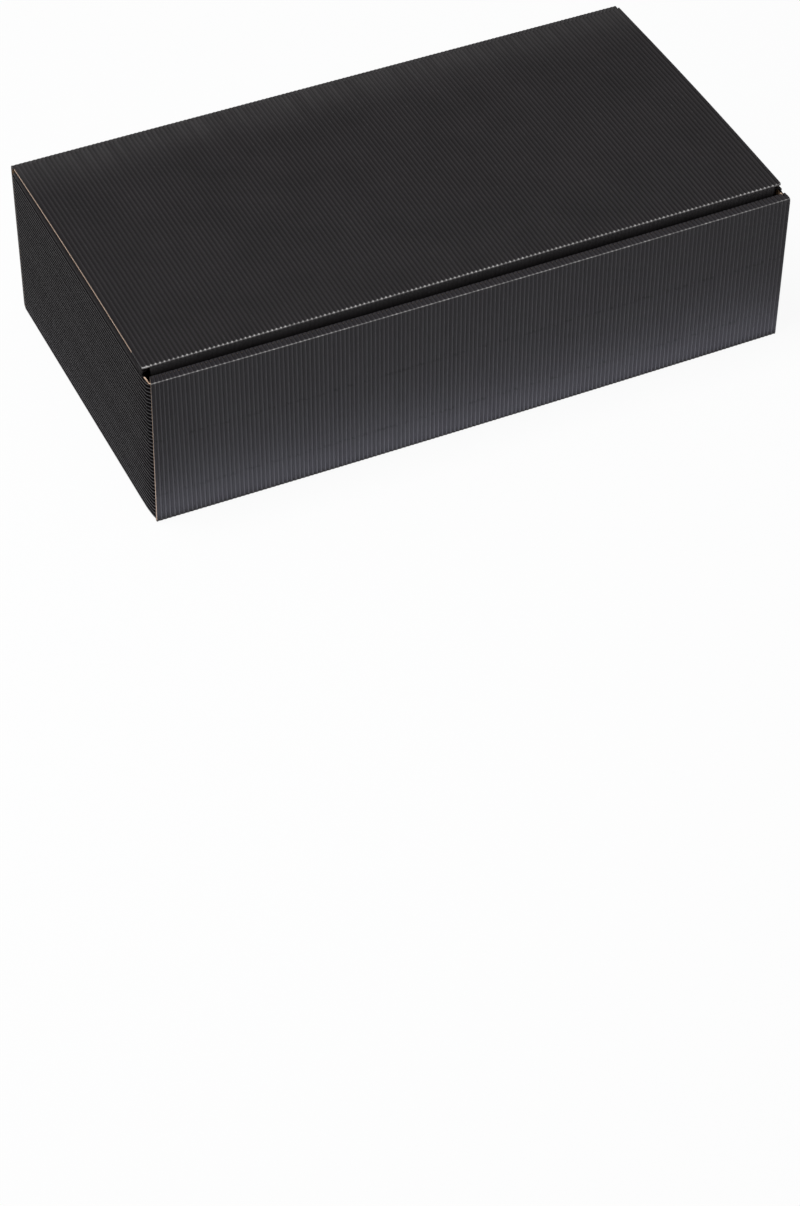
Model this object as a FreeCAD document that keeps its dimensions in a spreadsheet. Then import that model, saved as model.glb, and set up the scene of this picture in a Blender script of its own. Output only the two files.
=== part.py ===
import FreeCAD, Part
import math
import os
import Sketcher
from FreeCAD import Vector

# Two-bottle shipping box folded from one blank of open-flute corrugated board.
# The fluted face is outside, and every flute of the flat blank runs front to back, so
# flutes stand upright on the front and back walls and lie level along the side walls.
# X runs along the bottles, Y from front to back and Z up. The origin is the middle of
# the footprint, on the plane that the box stands on. Sizes are in millimetres.

os.makedirs("parts", exist_ok=True)
doc = FreeCAD.newDocument("bottle_shipping_box")

# Driving sizes
sheet = doc.addObject("Spreadsheet::Sheet", "sizes")
driving_sizes = [
    ("box_width", 366.0, "outside width, along the bottles"),
    ("box_depth", 196.0, "outside depth, front to back"),
    ("lid_top", 97.0, "height of the closed lid's upper face"),
    ("front_height", 92.6, "height of the front wall's rolled lip"),
    ("board", 1.5, "board thickness over the flute crests"),
    ("flute_pitch", 2.42, "distance from crest to crest"),
    ("flute_depth", 0.8, "depth of a valley below the crests"),
    ("crest_flat", 0.5, "flat width on each crest"),
    ("lip_width", 6.0, "width of the rolled lip on the front wall"),
    ("panel_gap", 0.5, "gap under the front wall's inner panel"),
    ("side_fold", 2.0, "outer radius of the fold from floor to side wall"),
    ("corner_radius", 3.5, "outer radius where a side wall turns into its tab"),
    ("turn_steps", 2, "flat steps round a corner turn"),
    ("tab_length", 72.0, "length of a side wall's tab, from the side wall's face"),
    ("dust_fold", 3.0, "outer radius of the fold from side wall to dust flap"),
    ("dust_length", 56.0, "reach of a dust flap over the bottles"),
    ("dust_taper", 20.0, "slant of a dust flap's two ends, in degrees"),
    ("notch_length", 7.8, "distance from the box's front or back to a dust flap"),
    ("notch_drop", 1.0, "how far the side wall's raw top lies below the front lip"),
    ("lid_inset", 1.0, "distance from the lid's raw side edge to the side wall's face"),
    ("lid_setback", 6.8, "distance from the lid's front fold to the box's front"),
    ("lid_gap", 0.3, "gap under the closed lid"),
    ("tuck_depth", 38.0, "height of the tuck flap"),
    ("tuck_inset", 4.0, "distance from the lid's side edge to the tuck flap"),
    ("tuck_taper", 7.0, "further inset of the tuck flap at its lower edge"),
    ("tuck_gap", 0.5, "gap to the front wall as the tuck flap swings past it"),
    ("divider_height", 86.0, "height of the bottle divider"),
    ("divider_foot", 38.0, "reach of a divider foot from the middle of the box"),
    ("divider_gap", 1.0, "gap between the divider's two standing panels"),
    ("divider_play", 1.0, "gap between a divider end and the side wall"),
]
for row, (alias, value, meaning) in enumerate(driving_sizes, start=1):
    sheet.set("A%d" % row, alias)
    sheet.set("B%d" % row, str(value))
    sheet.set("C%d" % row, meaning)
    sheet.setAlias("B%d" % row, alias)
doc.recompute()


def size(alias):
    """Read a driving size from the sheet."""
    return float(sheet.get(alias))


board = size("board")
flute_depth = size("flute_depth")
half_width = size("box_width") / 2
half_depth = size("box_depth") / 2
lid_under = size("lid_top") - board
tray_top = lid_under - size("lid_gap")


def flute_stations(start, stop):
    """List (place, depth) where the fluted face turns: both ends of each crest, and each valley."""
    count = max(1, round(abs(stop - start) / size("flute_pitch")))
    pitch = (stop - start) / count
    half_crest = math.copysign(size("crest_flat") / 2, pitch)
    stations = [(start, 0.0)]
    for flute in range(count):
        left = start + flute * pitch
        stations.append((left + half_crest, 0.0))
        stations.append((left + pitch / 2, flute_depth))
        stations.append((left + pitch - half_crest, 0.0))
    stations.append((stop, 0.0))
    return stations


def inset(path, distance):
    """Move an open path of straight runs to its left by a distance, with mitred corners."""
    lefts = []
    for (u0, v0), (u1, v1) in zip(path, path[1:]):
        length = math.hypot(u1 - u0, v1 - v0)
        lefts.append((-(v1 - v0) / length, (u1 - u0) / length))
    before = [lefts[0]] + lefts
    after = lefts + [lefts[-1]]
    moved = []
    for (u, v), (au, av), (bu, bv) in zip(path, before, after):
        reach = distance / (1 + au * bu + av * bv)
        moved.append((u + (au + bu) * reach, v + (av + bv) * reach))
    return moved


def skin(sections):
    """Close a solid through flat sections that all have the same number of corners."""
    faces = [Part.Face(Part.makePolygon(ring + ring[:1])) for ring in (sections[0], sections[-1])]
    for ring, following in zip(sections, sections[1:]):
        for a, b, c, d in zip(ring, ring[1:] + ring[:1], following[1:] + following[:1], following):
            faces.append(Part.Face(Part.makePolygon([a, b, c, d, a])))
    shell = Part.makeCompound(faces)
    shell.sewShape()
    solid = Part.makeSolid(shell.Shells[0])
    if solid.Volume < 0:
        solid.reverse()
    return solid.removeSplitter()


def folded_board(path, left, right):
    """Fold a fluted board along a path in the YZ plane. Its flutes follow the path."""
    crest_line = path
    valley_line = inset(path, flute_depth)
    liner = inset(path, board)
    sections = []
    for x, depth in flute_stations(left, right):
        outer = valley_line if depth else crest_line
        sections.append([Vector(x, y, z) for y, z in outer + liner[::-1]])
    return skin(sections)


def add_feature(name, shape):
    """Put a computed shape into the document."""
    feature = doc.addObject("Part::Feature", name)
    feature.Shape = shape
    feature.Placement = FreeCAD.Placement()
    return feature


# Divider between the bottles: a strip folded to two standing panels and two feet
divider = doc.addObject("PartDesign::Body", "bottle_divider")


def origin_plane(body, role):
    """Find one of a body's own origin planes."""
    return next(item for item in body.Origin.OriginFeatures if item.Role == role)


def rectangle_sketch(body, name, left, right, low, high):
    """Draw a rectangle in the YZ plane. Each side is bound to an expression in millimetres."""
    sketch = body.newObject("Sketcher::SketchObject", name)
    sketch.AttachmentSupport = [(origin_plane(body, "YZ_Plane"), "")]
    sketch.MapMode = "FlatFace"
    corners = [Vector(-1, 0, 0), Vector(1, 0, 0), Vector(1, 1, 0), Vector(-1, 1, 0)]
    for start, end in zip(corners, corners[1:] + corners[:1]):
        sketch.addGeometry(Part.LineSegment(start, end), False)
    for line in range(4):
        sketch.addConstraint(Sketcher.Constraint("Coincident", line, 2, (line + 1) % 4, 1))
        sketch.addConstraint(Sketcher.Constraint("Horizontal" if line % 2 == 0 else "Vertical", line))
    places = [
        ("DistanceX", 0, 1, left),
        ("DistanceX", 1, 1, right),
        ("DistanceY", 0, 1, low),
        ("DistanceY", 2, 1, high),
    ]
    for kind, line, point, expression in places:
        index = sketch.addConstraint(Sketcher.Constraint(kind, -1, 1, line, point, 1.0))
        sketch.setExpression("Constraints[%d]" % index, expression)
    return sketch


def along_box(kind, name, sketch):
    """Pad or pocket a sketch over the divider's length, equally to both sides."""
    feature = divider.newObject(kind, name)
    feature.Profile = sketch
    feature.SideType = "Symmetric"
    feature.setExpression("Length", "sizes.box_width - 2 * sizes.board - 2 * sizes.divider_play")
    return feature


half_web = "(sizes.divider_gap / 2 + sizes.board)"
feet = rectangle_sketch(divider, "feet_outline", "-sizes.divider_foot", "sizes.divider_foot",
                        "sizes.board", "2 * sizes.board")
along_box("PartDesign::Pad", "feet", feet)
web = rectangle_sketch(divider, "web_outline", "-" + half_web, half_web,
                       "sizes.board", "sizes.board + sizes.divider_height")
along_box("PartDesign::Pad", "web", web)
slot = rectangle_sketch(divider, "gap_outline", "-sizes.divider_gap / 2", "sizes.divider_gap / 2",
                        "0", "sizes.divider_height")
along_box("PartDesign::Pocket", "gap_between_panels", slot)
doc.recompute()


def edges_along_box(shape, y, z):
    """Names of the straight edges that run along X at a place in the YZ plane."""
    names = []
    for number, edge in enumerate(shape.Edges, start=1):
        ends = [vertex.Point for vertex in edge.Vertexes]
        runs_along_x = abs(ends[0].x - ends[-1].x) > size("box_width") / 2
        if runs_along_x and all(math.hypot(abs(p.y) - y, p.z - z) < 0.001 for p in ends):
            names.append("Edge%d" % number)
    return names


half_web_value = size("divider_gap") / 2 + board
folded = divider.Tip
top_fold = divider.newObject("PartDesign::Fillet", "top_fold")
top_fold.Base = (folded, edges_along_box(folded.Shape, half_web_value, board + size("divider_height")))
top_fold.setExpression("Radius", "sizes.board")
doc.recompute()
foot_fold = divider.newObject("PartDesign::Fillet", "foot_fold")
foot_fold.Base = (top_fold, edges_along_box(top_fold.Shape, half_web_value, 2 * board))
foot_fold.setExpression("Radius", "sizes.board")
doc.recompute()

# Front wall, floor and back wall: one run of the blank between the side folds
wall_half = half_width - size("side_fold")
front_face = -half_depth
lip_back = front_face + size("lip_width")
tray_path = [
    (lip_back, board + size("panel_gap")),
    (lip_back, size("front_height")),
    (front_face, size("front_height")),
    (front_face, 0.0),
    (half_depth, 0.0),
    (half_depth, tray_top),
]
main_run = add_feature("front_floor_back", folded_board(tray_path, -wall_half, wall_half))

# Side wall, drawn on the left: it folds up from the floor and in again as the dust flap
side_face = -half_width
side_fold = size("side_fold")
dust_fold = size("dust_fold")
wall_stations = flute_stations(tray_top - dust_fold, side_fold)


def fold_arc(centre_x, centre_z, radius, start_deg, stop_deg):
    """Corner points of a fold, in four straight steps."""
    steps = 4
    turns = [math.radians(start_deg + (stop_deg - start_deg) * n / steps) for n in range(1, steps)]
    return [(centre_x + radius * math.cos(a), centre_z + radius * math.sin(a)) for a in turns]


def side_section():
    """Outline of the side wall and dust flap in the XZ plane."""
    top_centre = (side_face + dust_fold, tray_top - dust_fold)
    foot_centre = (side_face + side_fold, side_fold)
    dust_stations = flute_stations(side_face + size("dust_length"), top_centre[0])
    points = [(x, tray_top - depth) for x, depth in dust_stations]
    points += fold_arc(*top_centre, dust_fold, 90, 180)
    points += [(side_face + depth, z) for z, depth in wall_stations]
    points += fold_arc(*foot_centre, side_fold, 180, 270)
    points += [(foot_centre[0], 0.0), (foot_centre[0], board)]
    points += fold_arc(*foot_centre, side_fold - board, 270, 180)
    points += [(side_face + board, side_fold), (side_face + board, top_centre[1])]
    points += fold_arc(*top_centre, dust_fold - board, 180, 90)
    points += [(top_centre[0], tray_top - board), (side_face + size("dust_length"), tray_top - board)]
    return points


corner_radius = size("corner_radius")
turn_start = half_depth - board - corner_radius
side_ring = [Vector(x, -turn_start, z) for x, z in side_section()]
side_wall = Part.Face(Part.makePolygon(side_ring + side_ring[:1])).extrude(Vector(0, 2 * turn_start, 0))

# Raw top beside the lip, and the slanted ends of the dust flap
notch_top = size("front_height") - size("notch_drop")
notch_edge = half_depth - size("notch_length")
slant = size("dust_length") * math.tan(math.radians(size("dust_taper")))
dust_tip = side_face + size("dust_length")
for side in (-1, 1):
    corners = [
        Vector(side_face - board, side * notch_edge, notch_top),
        Vector(side_face, side * notch_edge, notch_top),
        Vector(dust_tip + board, side * (notch_edge - slant), notch_top),
        Vector(dust_tip + board, side * (half_depth + board), notch_top),
        Vector(side_face - board, side * (half_depth + board), notch_top),
    ]
    waste = Part.Face(Part.makePolygon(corners + corners[:1])).extrude(Vector(0, 0, size("lid_top")))
    side_wall = side_wall.cut(waste)


def corner_turn(side):
    """Turn the side wall through a right angle into its tab behind the front or back wall."""
    steps = round(size("turn_steps"))
    centre_x = side_face + corner_radius
    profile = [(depth, z) for z, depth in wall_stations if board < z < notch_top]
    profile = [(0.0, notch_top)] + profile + [(0.0, board), (board, board), (board, notch_top)]
    sections = []
    for step in range(steps + 1):
        turn = math.radians(90.0 * step / steps)
        ring = []
        for depth, z in profile:
            radius = corner_radius - depth
            y = side * (turn_start + radius * math.sin(turn))
            ring.append(Vector(centre_x - radius * math.cos(turn), y, z))
        sections.append(ring)
    return skin(sections)


def tab(side):
    """Flat tab that lies against the inner face of the front or back wall."""
    top = size("front_height") - board if side < 0 else notch_top
    outer = half_depth - board
    low_y = min(side * outer, side * (outer - board))
    start = side_face + corner_radius
    length = size("tab_length") - corner_radius
    return Part.makeBox(length, board, top - board, Vector(start, low_y, board))


side_pieces = [side_wall]
for side in (-1, 1):
    side_pieces += [corner_turn(side), tab(side)]
left_side = add_feature("left_side", side_pieces[0].fuse(side_pieces[1:]))

right_side = doc.addObject("Part::Mirroring", "right_side")
right_side.Source = left_side
right_side.Normal = Vector(1, 0, 0)

tray = doc.addObject("Part::MultiFuse", "tray")
tray.Shapes = [main_run, left_side, right_side]
tray.Refine = True

# Lid panel with its tuck flap. The flap leans back so that its lower edge clears the lip
lid_half = half_width - size("lid_inset")
lid_front = front_face + size("lid_setback")
swing = half_depth - lip_back - size("tuck_gap")
tuck_tip = half_depth - math.sqrt(swing ** 2 - size("tuck_depth") ** 2)
tip_z = size("lid_top") - size("tuck_depth")
lid_path = [(half_depth, size("lid_top")), (lid_front, size("lid_top")), (tuck_tip, tip_z)]
lid_board = add_feature("lid_board", folded_board(lid_path, -lid_half, lid_half))

tuck_half = lid_half - size("tuck_inset")
trims = []
for side in (-1, 1):
    corners = [
        Vector(side * tuck_half, front_face, lid_under),
        Vector(side * (tuck_half - size("tuck_taper")), front_face, tip_z - board),
        Vector(side * half_width, front_face, tip_z - board),
        Vector(side * half_width, front_face, lid_under),
    ]
    trims.append(Part.Face(Part.makePolygon(corners + corners[:1])).extrude(Vector(0, half_depth, 0)))
tuck_trim = add_feature("tuck_trim", Part.makeCompound(trims))

lid = doc.addObject("Part::Cut", "lid")
lid.Base = lid_board
lid.Tool = tuck_trim
doc.recompute()

# Check every object, then write each piece to its own file
for item in doc.Objects:
    if "Invalid" in item.State or "Error" in item.State:
        raise RuntimeError("%s did not compute" % item.Name)
for piece in (tray, lid, divider):
    piece.Label = piece.Name
    shape = piece.Shape
    if shape.isNull() or not shape.isValid():
        raise RuntimeError("%s has no valid shape" % piece.Name)
    shape.exportStep(os.path.join("parts", piece.Name + ".step"))
    box = shape.BoundBox
    print(piece.Name, len(shape.Solids), "solids", len(shape.Faces), "faces", round(shape.Volume), "mm3",
          [round(v, 2) for v in (box.XMin, box.YMin, box.ZMin, box.XMax, box.YMax, box.ZMax)])
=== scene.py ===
import math

import bmesh
import bpy
import numpy as np
from mathutils import Matrix, Vector


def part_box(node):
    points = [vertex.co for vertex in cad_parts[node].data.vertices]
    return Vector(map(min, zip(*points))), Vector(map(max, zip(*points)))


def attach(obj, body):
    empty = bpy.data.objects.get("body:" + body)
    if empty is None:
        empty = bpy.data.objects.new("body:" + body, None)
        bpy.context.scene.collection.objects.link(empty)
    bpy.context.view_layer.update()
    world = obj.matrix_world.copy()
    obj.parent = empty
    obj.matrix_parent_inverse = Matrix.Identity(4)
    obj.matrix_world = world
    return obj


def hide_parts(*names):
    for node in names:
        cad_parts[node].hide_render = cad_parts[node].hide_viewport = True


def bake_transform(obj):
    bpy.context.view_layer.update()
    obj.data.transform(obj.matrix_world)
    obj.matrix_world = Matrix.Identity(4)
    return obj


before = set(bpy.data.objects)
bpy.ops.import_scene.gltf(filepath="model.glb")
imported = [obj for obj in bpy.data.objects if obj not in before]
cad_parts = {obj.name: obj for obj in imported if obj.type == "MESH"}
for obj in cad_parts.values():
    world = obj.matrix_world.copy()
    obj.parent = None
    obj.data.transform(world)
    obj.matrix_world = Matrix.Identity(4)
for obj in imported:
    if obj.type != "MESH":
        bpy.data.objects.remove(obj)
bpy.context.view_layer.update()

# LID
# The lid is the last panel of the blank: open-flute board, black paper glued over brown card.
# It is creased along the back wall and along its front edge, where the tuck flap turns down.
# The crests show pale marks at the front crease, and the side edges are raw cuts.
mm = 0.001
lid_low, lid_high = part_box("lid")
tray_low, tray_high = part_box("tray")
board = 1.5 * mm
flute_depth = 0.8 * mm
flute_pitch = 2.42 * mm
steps_per_flute = 8
flutes_per_liner_step = 6
steps_per_bend = 6
weld_distance = 0.002 * mm


def flute_columns(low, high):
    """Places across the flutes, how high each stands (1 on a crest, 0 in a valley), and its flute count."""
    flutes = round((high - low) / flute_pitch)
    turns = np.linspace(0, flutes, flutes * steps_per_flute + 1)
    return low + (high - low) * turns / flutes, 0.5 + 0.5 * np.cos(2 * np.pi * turns), turns


def folded_path(corners, radii, straight_step, crease_rows):
    """Rows along a folded path: places, outward normals, distance along it, and where each fold lies."""
    places, normals, marks = [], [], []
    corners = [np.array(c, float) for c in corners]
    along = 0.0
    folds = []
    last = corners[0]
    for index in range(1, len(corners)):
        run = corners[index] - last
        length = np.linalg.norm(run)
        direction = run / length
        outward = np.array([direction[1], -direction[0]])
        trim = 0.0
        if index < len(corners) - 1:
            onward = corners[index + 1] - corners[index]
            onward = onward / np.linalg.norm(onward)
            turn = math.atan2(direction[0] * onward[1] - direction[1] * onward[0], direction @ onward)
            trim = radii[index - 1] * math.tan(abs(turn) / 2)
        straight = length - trim
        rows = set(np.linspace(0, straight, max(2, round(straight / straight_step) + 1)))
        for row in crease_rows:
            if row < straight / 2:
                rows.add(straight - row)
                rows.add(row)
        for row in sorted(rows):
            places.append(last + direction * row)
            normals.append(outward)
            marks.append(along + row)
        along += straight
        if index < len(corners) - 1:
            sign = math.copysign(1, turn)
            start = corners[index] - direction * trim
            centre = start - sign * outward * radii[index - 1]
            folds.append(along + radii[index - 1] * abs(turn) / 2)
            for step in range(1, steps_per_bend):
                angle = turn * step / steps_per_bend
                cosine, sine = math.cos(angle), math.sin(angle)
                normal = np.array([
                    outward[0] * cosine - outward[1] * sine,
                    outward[0] * sine + outward[1] * cosine,
                ])
                places.append(centre + sign * normal * radii[index - 1])
                normals.append(normal)
                marks.append(along + radii[index - 1] * abs(angle))
            along += radii[index - 1] * abs(turn)
            last = corners[index] + onward * trim
    return np.array(places), np.array(normals), np.array(marks), folds


def near(distance, width):
    """1 at a crease, falling off to either side."""
    return np.exp(-(distance / width) ** 2)


def board_piece(name, outer, inner_rows, inner_columns, inner, pale_marks_and_painted_light, flute, materials, black_edge=None):
    """Close a board between its fluted face and its liner, with raw edges all round.

    black_edge tells which cut edges take the black face instead of the raw cut.
    """
    rows, columns = outer.shape[:2]
    grid = np.arange(rows * columns).reshape(rows, columns)
    liner = rows * columns + np.arange(len(inner_rows) * len(inner_columns)).reshape(len(inner_rows), -1)
    points = np.vstack([outer.reshape(-1, 3), inner.reshape(-1, 3)])
    face_quads = np.stack([grid[:-1, :-1], grid[1:, :-1], grid[1:, 1:], grid[:-1, 1:]], -1).reshape(-1, 4)
    liner_quads = np.stack([liner[:-1, :-1], liner[:-1, 1:], liner[1:, 1:], liner[1:, :-1]], -1)
    liner_quads = liner_quads.reshape(-1, 4)
    faces = face_quads.tolist() + liner_quads.tolist()
    kinds = [0] * len(face_quads) + [1] * len(liner_quads)
    edges = []
    for edge, liner_edge, picks in (
        (grid[0, :], liner[0, :], inner_columns),
        (grid[-1, ::-1], liner[-1, ::-1], [columns - 1 - p for p in inner_columns[::-1]]),
        (grid[::-1, 0], liner[::-1, 0], [rows - 1 - p for p in inner_rows[::-1]]),
        (grid[:, -1], liner[:, -1], inner_rows),
    ):
        for step in range(len(picks) - 1):
            span = edge[picks[step]:picks[step + 1] + 1].tolist()
            edges.append(span + [int(liner_edge[step + 1]), int(liner_edge[step])])
    faces += edges
    for edge in edges:
        kinds.append(0 if black_edge is not None and black_edge(points[edge].mean(0)) else 2)
    mesh = bpy.data.meshes.new(name)
    mesh.from_pydata(points.tolist(), [], faces)
    mesh.polygons.foreach_set("material_index", kinds)
    # face_side is 1 on the fluted face and 0 on the liner, so that a cut edge can tell them apart
    for title, values in (("pale_marks_and_painted_light", pale_marks_and_painted_light), ("flute", flute), ("face_side", 1.0)):
        full = np.zeros(len(points), np.float32)
        full[:rows * columns] = np.broadcast_to(values, (rows, columns)).ravel()
        attribute = mesh.attributes.new(title, "FLOAT", "POINT")
        attribute.data.foreach_set("value", full)
    for material in materials:
        mesh.materials.append(material)
    work = bmesh.new()
    work.from_mesh(mesh)
    bmesh.ops.remove_doubles(work, verts=work.verts, dist=weld_distance)
    bmesh.ops.dissolve_degenerate(work, edges=work.edges, dist=weld_distance / 2)
    for face in work.faces:
        face.smooth = face.material_index == 0
    work.to_mesh(mesh)
    work.free()
    piece = bpy.data.objects.new(name, mesh)
    bpy.context.scene.collection.objects.link(piece)
    return piece


def picks(count, stride):
    """Every stride-th place, and always the last."""
    chosen = list(range(0, count - 1, stride))
    return chosen + [count - 1]


def node(material, kind, **inputs):
    """Add a shader node, with plain values on its named sockets."""
    made = material.node_tree.nodes.new(kind)
    for key, value in inputs.items():
        made.inputs[key.replace("_", " ")].default_value = value
    return made


def new_material(name):
    """A material with a Principled shader, ready for links."""
    material = bpy.data.materials.new(name)
    material.use_nodes = True
    return material, material.node_tree.nodes["Principled BSDF"], material.node_tree.links


def ramp(material, stops):
    """A colour ramp with the given places and colours."""
    made = material.node_tree.nodes.new("ShaderNodeValToRGB")
    while len(made.color_ramp.elements) < len(stops):
        made.color_ramp.elements.new(1.0)
    for element, (place, colour) in zip(made.color_ramp.elements, stops):
        element.position = place
        element.color = (*colour, 1.0)
    return made


# Black paper face: matt, a little rubbed on the crests, pale along the creases; painted shade darkens its
# valleys and a painted highlight lightens its crests
black_face, shader, links = new_material("black_fluted_paper")
where = node(black_face, "ShaderNodeTexCoord")
flute_height = node(black_face, "ShaderNodeAttribute")
flute_height.attribute_name = "flute"
# Pale marks along the folds; the same attribute carries a painted sheen toward the back crease and a painted
# lift on the tuck flap
pale_marks_attribute = node(black_face, "ShaderNodeAttribute")
pale_marks_attribute.attribute_name = "pale_marks_and_painted_light"
cloud = node(black_face, "ShaderNodeTexNoise", Scale=38.0, Detail=5.0, Roughness=0.6)
fibre = node(black_face, "ShaderNodeTexNoise", Scale=2600.0, Detail=3.0, Roughness=0.65)
scuff = node(black_face, "ShaderNodeTexNoise", Scale=520.0, Detail=2.0, Roughness=0.6)
for texture in (cloud, fibre, scuff):
    links.new(where.outputs["Object"], texture.inputs["Vector"])
deep_black = (0.0192, 0.0170, 0.0184)
faded_black = (0.0244, 0.0214, 0.0232)
tone = ramp(black_face, [(0.3, deep_black), (0.7, faded_black)])
links.new(cloud.outputs["Fac"], tone.inputs["Fac"])
# Painted shade in the valleys and a painted highlight on the crests, set by flute height
valley_shade_to_crest_highlight = [(0.0, (0.62, 0.62, 0.62)), (0.5, (0.88, 0.88, 0.88)), (1.0, (1.15, 1.15, 1.16))]
painted_flute_shade = ramp(black_face, valley_shade_to_crest_highlight)
painted_flute_shade.name = "painted_flute_shade"
links.new(flute_height.outputs["Fac"], painted_flute_shade.inputs["Fac"])
paper_tone_and_shade = node(black_face, "ShaderNodeMix")
paper_tone_and_shade.data_type = "RGBA"
paper_tone_and_shade.blend_type = "MULTIPLY"
paper_tone_and_shade.inputs["Factor"].default_value = 1.0
links.new(tone.outputs["Color"], paper_tone_and_shade.inputs["A"])
links.new(painted_flute_shade.outputs["Color"], paper_tone_and_shade.inputs["B"])
rub_mask = node(black_face, "ShaderNodeMapRange", From_Min=0.62, From_Max=0.74)
links.new(scuff.outputs["Fac"], rub_mask.inputs["Value"])
on_crest = node(black_face, "ShaderNodeMapRange", From_Min=0.72, From_Max=1.0, To_Max=0.5)
links.new(flute_height.outputs["Fac"], on_crest.inputs["Value"])
rubbed = node(black_face, "ShaderNodeMath")
rubbed.operation = "MULTIPLY"
links.new(rub_mask.outputs["Result"], rubbed.inputs[0])
links.new(on_crest.outputs["Result"], rubbed.inputs[1])
rub_colour = node(black_face, "ShaderNodeMix")
rub_colour.data_type = "RGBA"
links.new(rubbed.outputs["Value"], rub_colour.inputs["Factor"])
links.new(paper_tone_and_shade.outputs["Result"], rub_colour.inputs["A"])
rubbed_grey = (0.075, 0.073, 0.076, 1.0)
rub_colour.inputs["B"].default_value = rubbed_grey
dull_pale = (0.42, 0.41, 0.41)
bright_pale = (0.88, 0.86, 0.85)
pale = ramp(black_face, [(0.25, dull_pale), (0.75, bright_pale)])
links.new(fibre.outputs["Fac"], pale.inputs["Fac"])
face_colour = node(black_face, "ShaderNodeMix")
face_colour.data_type = "RGBA"
links.new(pale_marks_attribute.outputs["Fac"], face_colour.inputs["Factor"])
links.new(rub_colour.outputs["Result"], face_colour.inputs["A"])
links.new(pale.outputs["Color"], face_colour.inputs["B"])
links.new(face_colour.outputs["Result"], shader.inputs["Base Color"])
matt = node(black_face, "ShaderNodeMapRange", To_Min=0.46, To_Max=0.66)
links.new(cloud.outputs["Fac"], matt.inputs["Value"])
links.new(matt.outputs["Result"], shader.inputs["Roughness"])
shine = node(black_face, "ShaderNodeMath")
shine.operation = "MULTIPLY"
crest_shine = 0.3
shine.inputs[1].default_value = crest_shine
links.new(painted_flute_shade.outputs["Color"], shine.inputs[0])
links.new(shine.outputs["Value"], shader.inputs["Specular IOR Level"])
grain = node(black_face, "ShaderNodeBump", Strength=0.35, Distance=0.00006)
links.new(fibre.outputs["Fac"], grain.inputs["Height"])
links.new(grain.outputs["Normal"], shader.inputs["Normal"])

# Brown liner: the plain side of the board, mottled with pulp and flecked with darker specks
brown_liner, shader, links = new_material("brown_liner_card")
where = node(brown_liner, "ShaderNodeTexCoord")
pulp = node(brown_liner, "ShaderNodeTexNoise", Scale=160.0, Detail=6.0, Roughness=0.7)
specks = node(brown_liner, "ShaderNodeTexNoise", Scale=1500.0, Detail=3.0, Roughness=0.6)
for texture in (pulp, specks):
    links.new(where.outputs["Object"], texture.inputs["Vector"])
dark_card = (0.30, 0.195, 0.115)
light_card = (0.40, 0.27, 0.165)
card_tone = ramp(brown_liner, [(0.28, dark_card), (0.72, light_card)])
links.new(pulp.outputs["Fac"], card_tone.inputs["Fac"])
dark_speck = (0.72, 0.68, 0.62)
no_speck = (1.0, 1.0, 1.0)
speck_tone = ramp(brown_liner, [(0.34, dark_speck), (0.5, no_speck)])
links.new(specks.outputs["Fac"], speck_tone.inputs["Fac"])
card_colour = node(brown_liner, "ShaderNodeMix")
card_colour.data_type = "RGBA"
card_colour.blend_type = "MULTIPLY"
card_colour.inputs["Factor"].default_value = 1.0
links.new(card_tone.outputs["Color"], card_colour.inputs["A"])
links.new(speck_tone.outputs["Color"], card_colour.inputs["B"])
links.new(card_colour.outputs["Result"], shader.inputs["Base Color"])
shader.inputs["Roughness"].default_value = 0.85
shader.inputs["Specular IOR Level"].default_value = 0.3
card_grain = node(brown_liner, "ShaderNodeBump", Strength=0.4, Distance=0.00008)
links.new(specks.outputs["Fac"], card_grain.inputs["Height"])
links.new(card_grain.outputs["Normal"], shader.inputs["Normal"])

# Raw edge: bare tan card where the knife cut the board
raw_edge, shader, links = new_material("raw_cut_card")
where = node(raw_edge, "ShaderNodeTexCoord")
torn = node(raw_edge, "ShaderNodeTexNoise", Scale=900.0, Detail=4.0, Roughness=0.7)
links.new(where.outputs["Object"], torn.inputs["Vector"])
dark_cut = (0.56, 0.38, 0.27)
light_cut = (0.82, 0.62, 0.48)
edge_tone = ramp(raw_edge, [(0.3, dark_cut), (0.7, light_cut)])
links.new(torn.outputs["Fac"], edge_tone.inputs["Fac"])
through_board = node(raw_edge, "ShaderNodeAttribute")
through_board.attribute_name = "face_side"
dyed = node(raw_edge, "ShaderNodeMapRange", From_Min=0.55, From_Max=0.7)
links.new(through_board.outputs["Fac"], dyed.inputs["Value"])
cut_colour = node(raw_edge, "ShaderNodeMix")
cut_colour.data_type = "RGBA"
links.new(dyed.outputs["Result"], cut_colour.inputs["Factor"])
links.new(edge_tone.outputs["Color"], cut_colour.inputs["A"])
dyed_paper = (0.05, 0.04, 0.036, 1.0)
cut_colour.inputs["B"].default_value = dyed_paper
links.new(cut_colour.outputs["Result"], shader.inputs["Base Color"])
shader.inputs["Roughness"].default_value = 0.9
fray = node(raw_edge, "ShaderNodeBump", Strength=0.6, Distance=0.00015)
links.new(torn.outputs["Fac"], fray.inputs["Height"])
links.new(fray.outputs["Normal"], shader.inputs["Normal"])
board_materials = (black_face, brown_liner, raw_edge)


def painted_light_variant(name, stops, tint=(1.0, 1.0, 1.0)):
    """The black paper again, with other painted shade in the valleys and painted highlight on the crests, and
    a painted tint.
    """
    variant = black_face.copy()
    variant.name = name
    elements = variant.node_tree.nodes["painted_flute_shade"].color_ramp.elements
    for element, (place, tone) in zip(elements, stops):
        element.position = place
        element.color = (tone * tint[0], tone * tint[1], tone * tint[2], 1.0)
    return variant


random = np.random.default_rng(7)

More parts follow.
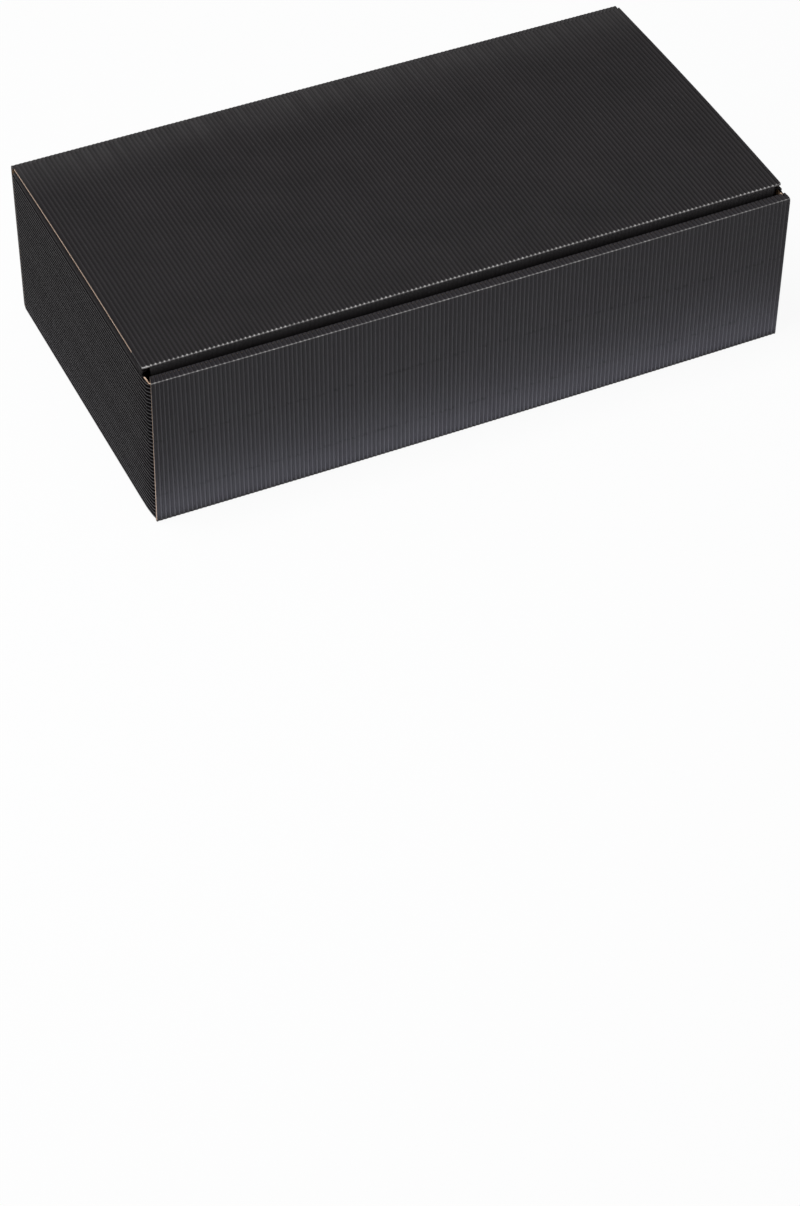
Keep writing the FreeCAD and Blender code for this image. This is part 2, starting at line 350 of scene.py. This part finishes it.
# How uneven the flutes are, and how far a crease or the press flattens them
flute_scatter = 0.035
crushed_height = 0.55
crease_crush = 0.8
pressed_share = 0.75
pressed_run = 1.5 * mm
# The pressed tuck flap takes the crest tone and a faint pale lift: painted light on the shaded flap
pressed_painted_highlight = 1.2
pressed_painted_lift = 0.04

# The lid's ends, heights and bow, and its tuck flap
lid_left = tray_low.x + 1.2 * mm
lid_right = tray_high.x - 1.1 * mm
lid_back_height = 96.6 * mm
lid_front_height = 97.6 * mm
lid_bow = 1.4 * mm
lid_crease_radius = 1.3 * mm
flap_depth = 38 * mm
flap_lean = 3.5 * mm
flap_inset = 4 * mm
flap_taper = 7 * mm
flap_shoulder = 0.6 * lid_crease_radius
black_end_reach = 13 * mm
crease_rows = [0.3 * mm, 0.6 * mm, 1.0 * mm, 1.6 * mm, 2.4 * mm]
hinge_reach = 4.0 * mm
lid_top = lid_high.z
lid_front = lid_low.y
lid_corners = [
    (tray_high.y - hinge_reach, lid_top),
    (lid_front, lid_top),
    (lid_front + flap_lean, lid_low.z),
]


def lid_height(points):
    """Shape the flat lid: it tilts up to the front and bows up in the middle of its depth."""
    depth = np.clip((tray_high.y - points[..., 1]) / (tray_high.y - lid_front), 0, 1)
    tilt = lid_back_height + (lid_front_height - lid_back_height) * depth - lid_top
    points[..., 2] += tilt + lid_bow * np.sin(np.pi * depth)
    return points


def across_board(path, normal, columns, shift):
    """Grid of points of a path in the YZ plane, moved out along its normals, across the columns."""
    y = path[:, None, 0] + normal[:, None, 0] * shift
    z = path[:, None, 1] + normal[:, None, 1] * shift
    x = np.broadcast_to(columns[None, :], y.shape)
    return np.stack([x, y, z], -1)


def along_x_board(
    name, corners, radii, low, high, straight_step, pale_marks, limits=None, shape=None, black_edge=None,
    materials=board_materials, flat_after=None, crush_reach=1.1 * mm, fold_rows=crease_rows,
):
    """A board whose flutes follow a folded path in the YZ plane.

    Its list of pale marks gives where a fold shows pale and where a painted sheen lies: fold number,
    strength, width, place beside it, how much of it is a line between the crests, and how sharply it keeps to
    the crests.
    """
    path, normal, marks, folds = folded_path(corners, radii, straight_step, fold_rows)
    columns, crest, turns = flute_columns(low, high)
    flute_number = np.round(turns).astype(int)
    lift = random.normal(0, flute_scatter, flute_number.max() + 1)[flute_number]
    crush = np.ones(len(marks))
    pale_marks_and_painted_light = np.zeros((len(marks), len(columns)))
    for fold in folds:
        crush -= crease_crush * near(marks - fold, crush_reach)
    pressed = np.ones(len(marks))
    if flat_after is not None:
        pressed -= pressed_share * np.clip((marks - folds[0] - flat_after) / pressed_run, 0, 1)
    crush *= pressed
    for number, strength, width, offset, line_share, sharpness in pale_marks:
        patch = random.uniform(0.5, 1.0, flute_number.max() + 1)[flute_number]
        line = near(marks - folds[number] - offset, width)
        points_share = line_share + (1 - line_share) * crest[None, :] ** sharpness
        pale_marks_and_painted_light += strength * line[:, None] * points_share * patch[None, :]
    # A faint pale lift on the pressed tuck flap: painted light
    pale_marks_and_painted_light += pressed_painted_lift * (1 - pressed[:, None])
    height = crest[None, :] * crush[:, None] * (1 + lift[None, :])
    height += crushed_height * (1 - crush[:, None])
    outer = across_board(path, normal, columns, -flute_depth * (1 - height))
    inner_rows = list(range(len(path)))
    inner_columns = picks(len(columns), steps_per_flute * flutes_per_liner_step)
    liner_shift = np.full((len(path), len(inner_columns)), -board)
    inner = across_board(path, normal, columns[inner_columns], liner_shift)
    if limits is not None:
        edge = limits(marks, folds)[:, None]
        middle = (low + high) / 2
        outer[..., 0] = np.clip(outer[..., 0], middle - edge, middle + edge)
        inner[..., 0] = np.clip(inner[..., 0], middle - edge, middle + edge)
    if shape is not None:
        outer, inner = shape(outer), shape(inner)
    # The pressed tuck flap takes the crest tone: a painted highlight on the shaded flap
    flute = crest[None, :] * pressed[:, None] + pressed_painted_highlight * (1 - pressed[:, None])
    pale_marks_and_painted_light = np.clip(pale_marks_and_painted_light, 0, 1)
    return board_piece(name, outer, inner_rows, inner_columns, inner, pale_marks_and_painted_light, flute, materials, black_edge)


def lid_limits(marks, folds):
    """Half width of the lid row by row: the tuck flap is narrower and tapers."""
    half = np.full(len(marks), (lid_right - lid_left) / 2)
    flap = np.clip((marks - folds[0]) / flap_depth, 0, 1)
    return np.where(marks > folds[0] - flap_shoulder, half - flap_inset - flap_taper * flap ** 2, half)


# The front crease shows pale marks on its crests, and a faint painted sheen lightens the board toward the
# back crease
lid_pale_marks_and_sheen = [(0, 1.4, 0.45 * mm, -0.9 * mm, 0.22, 5), (0, 0.036, 20 * mm, -186 * mm, 1.0, 1)]
lid = along_x_board(
    "lid_board", lid_corners, [lid_crease_radius], lid_left, lid_right, straight_step=7 * mm,
    pale_marks=lid_pale_marks_and_sheen, limits=lid_limits, shape=lid_height, flat_after=0.2 * mm,
    black_edge=lambda point: point[1] < lid_front + black_end_reach,
)
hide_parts("lid")
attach(lid, "lid")

# FRONT WALL
# The front wall is double: its inner layer tucks down inside, a flat lip joins it to the outer layer,
# and the outer layer folds back under the box into the floor. Its ends show the raw cut.
lip_width = 6.4 * mm
front_height = 92.6 * mm
front_bulge = 1.0 * mm
lip_slant = 2.2 * mm
top_spread = 0.6 * mm
end_reach = 14 * mm
end_lean = 1.8 * mm
end_start = 0.4 * mm
front_radii = [0.5 * mm, 0.8 * mm, 0.8 * mm]
inner_wall_foot = board + 0.5 * mm
run_left = tray_low.x + 1.6 * mm
run_right = tray_high.x - 2.0 * mm
floor_start = tray_low.y + 2.4 * mm
front_corners = [
    (tray_low.y + lip_width, inner_wall_foot),
    (tray_low.y + lip_width, front_height),
    (tray_low.y, front_height),
    (tray_low.y, 0.0),
    (floor_start, 0.0),
]


def wall_shape(points):
    """Bulge the front wall out in its middle, spread its top corners, and lean its left end and the lip's."""
    across = points[..., 0] / tray_high.x
    frontness = np.clip(-points[..., 1] / tray_high.y, 0, 1) ** 6
    depth_of_lip = np.clip((points[..., 1] - tray_low.y) / lip_width, 0, 1)
    points[..., 1] -= front_bulge * (1 - across ** 2) * frontness
    height = np.clip(points[..., 2] / front_height, 0, 1)
    points[..., 0] += top_spread * across * height * frontness
    left_end = np.clip((run_left + end_reach - points[..., 0]) / end_reach, 0, 1)
    points[..., 0] += (end_lean * height - end_start) * left_end * frontness
    points[..., 0] += lip_slant * left_end * depth_of_lip * height
    return points


# The flutes stand upright here; this copy of the paper is painted lighter and cooler as painted light, with
# little painted shade between the crests and a painted highlight on them
lit_front_face = painted_light_variant(
    "black_flutes_painted_front_light", [(0.0, 0.98), (0.75, 1.01), (1.0, 1.46)], tint=(0.965, 0.98, 1.05),
)
links = lit_front_face.node_tree.links
shader = lit_front_face.node_tree.nodes["Principled BSDF"]

# Two faint rows of pressed spots cross the front wall
where = node(lit_front_face, "ShaderNodeTexCoord")
split = node(lit_front_face, "ShaderNodeSeparateXYZ")
links.new(where.outputs["Object"], split.inputs["Vector"])
spots = node(lit_front_face, "ShaderNodeTexNoise", Scale=420.0, Detail=2.0)
links.new(where.outputs["Object"], spots.inputs["Vector"])
pressed_spots = node(lit_front_face, "ShaderNodeMapRange", From_Min=0.5, From_Max=0.6, To_Max=0.8)
links.new(spots.outputs["Fac"], pressed_spots.inputs["Value"])
unmarked = shader.inputs["Base Color"].links[0].from_socket
mark_heights = (54 * mm, 18 * mm)
half_mark = 0.9 * mm
mark_black = (0.004, 0.004, 0.004, 1.0)
for mark_height in mark_heights:
    on_row = node(lit_front_face, "ShaderNodeMath")
    on_row.operation = "COMPARE"
    on_row.inputs[1].default_value = mark_height
    on_row.inputs[2].default_value = half_mark
    links.new(split.outputs["Z"], on_row.inputs[0])
    strength = node(lit_front_face, "ShaderNodeMath")
    strength.operation = "MULTIPLY"
    links.new(on_row.outputs["Value"], strength.inputs[0])
    links.new(pressed_spots.outputs["Result"], strength.inputs[1])
    marked = node(lit_front_face, "ShaderNodeMix")
    marked.data_type = "RGBA"
    links.new(strength.outputs["Value"], marked.inputs["Factor"])
    links.new(unmarked, marked.inputs["A"])
    marked.inputs["B"].default_value = mark_black
    unmarked = marked.outputs["Result"]
links.new(unmarked, shader.inputs["Base Color"])

# The lip shows pale marks along its front fold, and only faintly along its inner one
front_pale_marks = [(1, 0.9, 0.36 * mm, 0.0, 0.6, 4), (0, 0.06, 0.5 * mm, 0.0, 0.2, 3)]
front_wall = along_x_board(
    "front_wall", front_corners, front_radii, run_left, tray_high.x, straight_step=18 * mm,
    pale_marks=front_pale_marks, shape=wall_shape, materials=(lit_front_face, brown_liner, raw_edge),
)
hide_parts("tray")
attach(front_wall, "box")

# FLOOR AND BACK WALL
# The floor carries on from the front wall in the same board, and the back wall folds up from it.
# The back wall's cut ends take the black face instead of the raw cut.
crease_reach = 5.0 * mm
back_overhang = 0.8 * mm
back_zone = 6 * mm
back_blend = 2 * mm
floor_radius = 1.6 * mm
back_black_reach = 3 * mm
floor_corners = [
    (floor_start, 0.0),
    (tray_high.y, 0.0),
    (tray_high.y, lid_back_height - crease_reach),
]


def back_shape(points):
    """Carry the left end of the back wall out past the side wall's ridges."""
    left_end = np.clip((run_left + end_reach - points[..., 0]) / end_reach, 0, 1)
    backness = np.clip((points[..., 1] - tray_high.y + back_zone) / back_blend, 0, 1)
    points[..., 0] -= back_overhang * left_end * backness
    return points


floor_and_back = along_x_board(
    "floor_and_back_wall", floor_corners, [floor_radius], run_left, run_right, straight_step=18 * mm,
    pale_marks=[], shape=back_shape, black_edge=lambda point: point[1] > tray_high.y - back_black_reach,
)
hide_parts("tray")
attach(floor_and_back, "box")

# SIDE WALLS
# Each side wall is the same board, folded up from the floor, so that its flutes lie level.
# It turns both upright corners into tabs that tuck behind the front and back walls,
# and folds in at the top as a dust flap under the lid.
corner_radius = 3.2 * mm
tab_press = 0.35 * mm
notch_reach = 7.8 * mm
tab_reach = 72.0 * mm
side_fold = 2.0 * mm
raw_top = 93.2 * mm
notch_top = 92.3 * mm
dust_top = 95.0 * mm
dust_fold = 1.8 * mm
dust_reach = 56.0 * mm
dust_slant = 20.0
dust_back_gap = 5.0 * mm
dust_rows = 24
fold_thinning = 0.2 * mm
corner_pull = 0.6 * mm
side_scatter = 0.02
side_step = 8 * mm
side_fold_steps = 6
dust_fold_steps = 8
crest_sharpness = 1.4
press_depth = 0.7
press_start = tray_high.y - board - 0.9 * mm
press_run = 0.6 * mm
notch_start = tray_high.y - notch_reach
notch_run = 0.5 * mm
tab_start = tray_high.y - board - corner_radius
pull_start = tray_low.y + 16 * mm
pull_run = 11 * mm
pull_limit = 1.3
tab_drop = 1.5 * mm
tab_floor_gap = 1.7 * mm
near_corner = [1 * mm, 2.5 * mm, 5 * mm]
tab_drop_rate = 1.6
tab_drop_start = 0.3
inner_floor_gap = 0.2 * mm
black_near_top = 3 * mm

# The flutes lie level here; this copy of the paper has deep painted shade in the valleys and a bright painted
# highlight on the crests
shaded_side_face = painted_light_variant("black_flutes_painted_side_shade", [(0.0, 0.1), (0.64, 0.24), (1.0, 2.25)])


def plan_path():
    """Outer face of the left side wall seen from above, from back tab to front tab."""
    front = -tray_high.y + board - tab_press
    back = tray_high.y - board + tab_press
    side = tray_low.x
    return [(side + tab_reach, back), (side, back), (side, front), (side + tab_reach, front)]


def side_profile():
    """Depth behind the outer face and height, from the fold into the floor up to the raw top."""
    columns, crest, turns = flute_columns(side_fold, raw_top)
    crest = crest ** crest_sharpness
    angles = np.linspace(math.pi / 2, 0, side_fold_steps)[:-1]
    fold_in = side_fold - side_fold * np.cos(angles)
    fold_z = side_fold - side_fold * np.sin(angles)
    return columns, crest, turns, fold_in, fold_z


def side_sheet(name):
    """The side wall with both tabs, as a board whose flutes follow the plan path."""
    path, normal, marks, folds = folded_path(plan_path(), [corner_radius] * 2, side_step, near_corner)
    columns, crest, turns, fold_in, fold_z = side_profile()
    flute_number = np.round(turns).astype(int)
    lift = random.normal(0, side_scatter, flute_number.max() + 1)[flute_number]
    height = crest[None, :] * (1 + lift[None, :]) * np.ones((len(marks), 1))
    pressed = np.clip((np.abs(path[:, 1]) - press_start) / press_run, 0, 1)
    depth = flute_depth * (1 - height) * (1 - press_depth * pressed[:, None])
    depth = np.hstack([np.broadcast_to(fold_in, (len(marks), len(fold_in))), depth])
    z = np.concatenate([fold_z, columns])
    in_tab = np.clip((np.abs(path[:, 1]) - tab_start) / corner_radius, 0, 1)
    in_notch = np.clip((np.abs(path[:, 1]) - notch_start) / notch_run, 0, 1)
    drop = tab_drop * np.clip(tab_drop_rate * in_tab - tab_drop_start, 0, 1)
    tab_top = raw_top + (notch_top - raw_top) * in_notch - drop
    floor_clear = tab_floor_gap * in_tab
    heights = np.clip(z[None, :], floor_clear[:, None], tab_top[:, None])
    outer = np.stack([
        path[:, None, 0] - normal[:, None, 0] * depth,
        path[:, None, 1] - normal[:, None, 1] * depth,
        heights,
    ], -1)
    fold_count = len(fold_z)
    inner_columns = list(range(fold_count))
    inner_columns += [fold_count + p for p in picks(len(columns), steps_per_flute * flutes_per_liner_step)]
    inner_depth = np.full(len(inner_columns), board)
    inner_z = z[inner_columns].copy()
    angles = np.linspace(math.pi / 2, 0, fold_count + 1)[:-1]
    inner_depth[:fold_count] = side_fold - (side_fold - board) * np.cos(angles)
    inner_z[:fold_count] = side_fold - (side_fold - board) * np.sin(angles)
    inner = np.stack([
        path[:, None, 0] - normal[:, None, 0] * inner_depth,
        path[:, None, 1] - normal[:, None, 1] * inner_depth,
        np.clip(inner_z[None, :], floor_clear[:, None] + inner_floor_gap, tab_top[:, None]),
    ], -1)
    flute = np.hstack([np.full((len(marks), fold_count), 0.5), height])
    for points in (outer, inner):
        run_in = np.clip((pull_start - points[..., 1]) / pull_run, 0, pull_limit)
        points[..., 0] += corner_pull * run_in ** 2
    rows = list(range(len(path)))
    pale_marks_and_painted_light = np.zeros(outer.shape[:2])
    return board_piece(
        name, outer, rows, inner_columns, inner, pale_marks_and_painted_light, flute, (shaded_side_face, brown_liner, raw_edge),
        black_edge=lambda point: point[2] > raw_top - black_near_top and abs(point[1]) < notch_start,
    )


def dust_sheet(name):
    """The fold at the side wall's top and the dust flap, whose ends slant in."""
    columns, crest, _ = flute_columns(tray_low.x + dust_fold, tray_low.x + dust_reach)
    columns, crest = columns[::-1], crest[::-1]
    angles = np.linspace(math.pi / 2, math.pi, dust_fold_steps)[1:]
    fold_x = tray_low.x + dust_fold + (dust_fold - fold_thinning) * np.cos(angles)
    fold_z = dust_top - dust_fold + (dust_fold - fold_thinning) * np.sin(angles)
    x = np.concatenate([columns, fold_x, [fold_x[-1]]])
    z = np.concatenate([dust_top - flute_depth * (1 - crest), fold_z, [raw_top]])
    fold_x_in = fold_x - (board - fold_thinning) * np.cos(angles)
    fold_z_in = fold_z - board * np.sin(angles)
    x_in = np.concatenate([columns, fold_x_in, [tray_low.x + board]])
    z_in = np.concatenate([np.full(len(columns), dust_top - board), fold_z_in, [raw_top]])
    reach = np.clip((x - tray_low.x) * math.tan(math.radians(dust_slant)), 0, None)
    front = tray_low.y + notch_reach + reach
    back = tray_high.y - dust_back_gap - reach
    share = np.linspace(0, 1, dust_rows)
    y = front[None, :] + (back - front)[None, :] * share[:, None]
    outer = np.stack([np.broadcast_to(x, y.shape), y, np.broadcast_to(z, y.shape)], -1)
    inner_columns = picks(len(columns), steps_per_flute * flutes_per_liner_step)
    inner_columns += list(range(len(columns), len(x)))
    inner = np.stack([
        np.broadcast_to(x_in[inner_columns], (dust_rows, len(inner_columns))),
        y[:, inner_columns],
        np.broadcast_to(z_in[inner_columns], (dust_rows, len(inner_columns))),
    ], -1)
    # The fold and the raw end take the valley value, so they get the darkest painted shade
    flute = np.concatenate([crest, np.full(len(fold_x) + 1, 0.0)])
    rows = list(range(dust_rows))
    pale_marks_and_painted_light = np.zeros(outer.shape[:2])
    return board_piece(
        name, outer, rows, inner_columns, inner, pale_marks_and_painted_light, flute[None, :], board_materials,
        black_edge=lambda point: True,
    )


def mirrored(piece, name):
    """A right-hand copy of a left-hand piece."""
    twin = piece.copy()
    twin.data = piece.data.copy()
    twin.name = name
    twin.data.transform(Matrix.Scale(-1, 4, (1, 0, 0)))
    twin.data.flip_normals()
    bpy.context.scene.collection.objects.link(twin)
    return twin


left_side = side_sheet("left_side_wall")
left_dust = dust_sheet("left_dust_flap")
right_side = mirrored(left_side, "right_side_wall")
right_dust = mirrored(left_dust, "right_dust_flap")
for piece in (left_side, left_dust, right_side, right_dust):
    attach(piece, "box")

# BACK CREASE
# The strip of the same board that bends where the back wall becomes the lid.
# It is creased, not cut, so its black face and its liner run on round the bend.
crease_corners = [
    (tray_high.y, lid_back_height - crease_reach),
    (tray_high.y, lid_back_height),
    (tray_high.y - hinge_reach, lid_back_height),
]
crease_radius = 1.7 * mm
# A faint pale mark along the fold, and a broad faint painted sheen carried on from the lid
back_pale_marks_and_sheen = [(0, 0.03, 0.8 * mm, 0.0, 0.2, 3), (0, 0.036, 9 * mm, 0.0, 1.0, 1)]
back_crease = along_x_board(
    "back_crease", crease_corners, [crease_radius], run_left, run_right, straight_step=1 * mm,
    shape=back_shape, pale_marks=back_pale_marks_and_sheen, crush_reach=2.6 * mm, black_edge=lambda point: True,
    fold_rows=[0.5 * mm, 1.2 * mm],
)
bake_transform(back_crease)

# BOTTLE DIVIDER
# A loose strip of the same board, folded into two feet and two panels that stand back to back,
# so that it keeps the bottles apart. It stands on the floor between them.
divider_low, divider_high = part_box("bottle_divider")
web = 2.0 * mm
divider_radius = 1.6 * mm
divider_corners = [
    (divider_low.y, divider_low.z + board),
    (-web, divider_low.z + board),
    (-web, divider_high.z),
    (web, divider_high.z),
    (web, divider_low.z + board),
    (divider_high.y, divider_low.z + board),
]
divider_corners = [(y, z) for y, z in divider_corners[::-1]]
divider = along_x_board(
    "bottle_divider_strip", divider_corners, [divider_radius] * 4, divider_low.x, divider_high.x,
    straight_step=40 * mm, pale_marks=[], materials=(brown_liner, brown_liner, raw_edge),
    fold_rows=[0.6 * mm, 1.6 * mm],
)
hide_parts("bottle_divider")
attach(divider, "box")

# FLOOR AND LIGHT
# A pale table under soft light from above, as in a photographer's white studio,
# and the camera in front of the left corner.
reach = 12.0
table_drop = 0.2 * mm
table_corners = [(-reach, -reach, 0), (reach, -reach, 0), (reach, reach, 0), (-reach, reach, 0)]
floor_mesh = bpy.data.meshes.new("table_top")
floor_mesh.from_pydata(table_corners, [], [(0, 1, 2, 3)])
floor = bpy.data.objects.new("table_top", floor_mesh)
bpy.context.scene.collection.objects.link(floor)
floor.location.z = -table_drop

# Seen directly, in a reflection or through something clear, the table is almost pure white
seen_white = 0.93
pale_table, shader, links = new_material("pale_table")
table_white = (0.94, 0.955, 0.97, 1.0)
shader.inputs["Base Color"].default_value = table_white
shader.inputs["Roughness"].default_value = 0.9
shader.inputs["Specular IOR Level"].default_value = 0.0
light_path = node(pale_table, "ShaderNodeLightPath")
seen = node(pale_table, "ShaderNodeMath")
seen.operation = "MAXIMUM"
links.new(light_path.outputs["Is Camera Ray"], seen.inputs[0])
links.new(light_path.outputs["Is Glossy Ray"], seen.inputs[1])
seen_through = node(pale_table, "ShaderNodeMath")
seen_through.operation = "MAXIMUM"
links.new(seen.outputs["Value"], seen_through.inputs[0])
links.new(light_path.outputs["Is Transmission Ray"], seen_through.inputs[1])
share = node(pale_table, "ShaderNodeMath")
share.operation = "MULTIPLY"
share.inputs[1].default_value = seen_white
links.new(seen_through.outputs["Value"], share.inputs[0])
glow = node(pale_table, "ShaderNodeEmission", Strength=1.0)
blend = node(pale_table, "ShaderNodeMixShader")
links.new(share.outputs["Value"], blend.inputs[0])
links.new(shader.outputs["BSDF"], blend.inputs[1])
links.new(glow.outputs["Emission"], blend.inputs[2])
links.new(blend.outputs["Shader"], pale_table.node_tree.nodes["Material Output"].inputs["Surface"])
floor_mesh.materials.append(pale_table)

world = bpy.data.worlds.new("studio")
world.use_nodes = True
bpy.context.scene.world = world
background = world.node_tree.nodes["Background"]
room_light = 0.26
background.inputs["Color"].default_value = (1.0, 1.0, 1.0, 1.0)
background.inputs["Strength"].default_value = room_light


def soft_lamp(name, place, facing, width, depth, power, colour=(1.0, 1.0, 1.0)):
    """A rectangular lamp that shines along the given direction."""
    lamp = bpy.data.lights.new(name, "AREA")
    lamp.shape = "RECTANGLE"
    lamp.size = width
    lamp.size_y = depth
    lamp.energy = power
    lamp.color = colour
    holder = bpy.data.objects.new(name, lamp)
    bpy.context.scene.collection.objects.link(holder)
    holder.location = place
    holder.rotation_euler = Vector(facing).to_track_quat("-Z", "Y").to_euler()
    holder.visible_camera = False


overhead_width = 0.7
soft_lamp(
    "overhead_softbox", place=(-0.45, -0.05, 1.4), facing=(0.45, 0.05, -1.35), width=overhead_width,
    depth=overhead_width, power=14.0,
)

# The lit table glows a little, and that shows low on the front and left walls
table_glow = (0.80, 0.83, 1.0)
glow_height = 1 * mm
soft_lamp(
    "table_glow_front", place=(0, tray_low.y - 12.5 * mm, glow_height), facing=(0, 0, 1), width=0.40,
    depth=0.022, power=0.050, colour=table_glow,
)
soft_lamp(
    "table_glow_left", place=(tray_low.x - 26 * mm, 0, glow_height), facing=(0, 0, 1), width=0.048,
    depth=0.20, power=0.007, colour=table_glow,
)

# Camera: place, facing and focal length found from the box's corners in the photograph
photo_height = 1206
focal_pixels = 3267.0
camera_place = (-0.5966, -1.2731, 1.1358)
right = (0.90628, -0.42266, 0.00355)
down = (-0.29062, -0.62923, -0.72084)
ahead = (0.3069, 0.65225, -0.6931)
camera = bpy.data.cameras.new("camera")
camera.sensor_width = 36.0
camera.lens = focal_pixels * camera.sensor_width / photo_height
camera.clip_start, camera.clip_end = 0.05, 50
viewer = bpy.data.objects.new("camera", camera)
bpy.context.scene.collection.objects.link(viewer)
turn = Matrix([(r, -d, -a) for r, d, a in zip(right, down, ahead)]).to_4x4()
viewer.matrix_world = Matrix.Translation(camera_place) @ turn
bpy.context.scene.camera = viewer
bpy.context.scene.view_settings.view_transform = "Standard"
